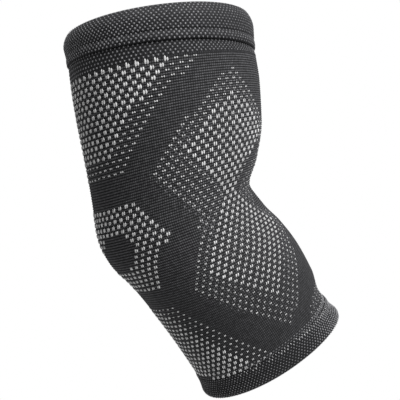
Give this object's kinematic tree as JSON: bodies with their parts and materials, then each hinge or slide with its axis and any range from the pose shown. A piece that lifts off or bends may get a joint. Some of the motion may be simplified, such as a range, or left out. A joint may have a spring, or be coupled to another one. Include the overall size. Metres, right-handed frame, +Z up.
{
  "type": "knitted elbow support",
  "caption": "Pull-on knitted compression sleeve for a bent elbow: a hollow shaped tube with a doubled welt at each end and zones of pale dots.",
  "frame": {"origin": "on the elbow's own turning axis, in the hollow of the sleeve, where the arm holds it", "axes": "+Z up the way the sleeve is worn in the picture, towards the upper arm's opening; +X towards the crook of the arm, -X towards the point of the elbow; Y along the elbow's turning axis"},
  "size_m": [0.1589, 0.0994, 0.2154],
  "materials": {
    "knit": "matt charcoal stocking-stitch knit",
    "welt_knit": "matt charcoal knit with small grey stitches",
    "pale_yarn": "pale grey soft yarn of the dots"
  },
  "bodies": {
    "root": {"knit_sleeve": "knit", "upper_cuff": "welt_knit", "lower_cuff": "welt_knit"}
  },
  "joints": []
}
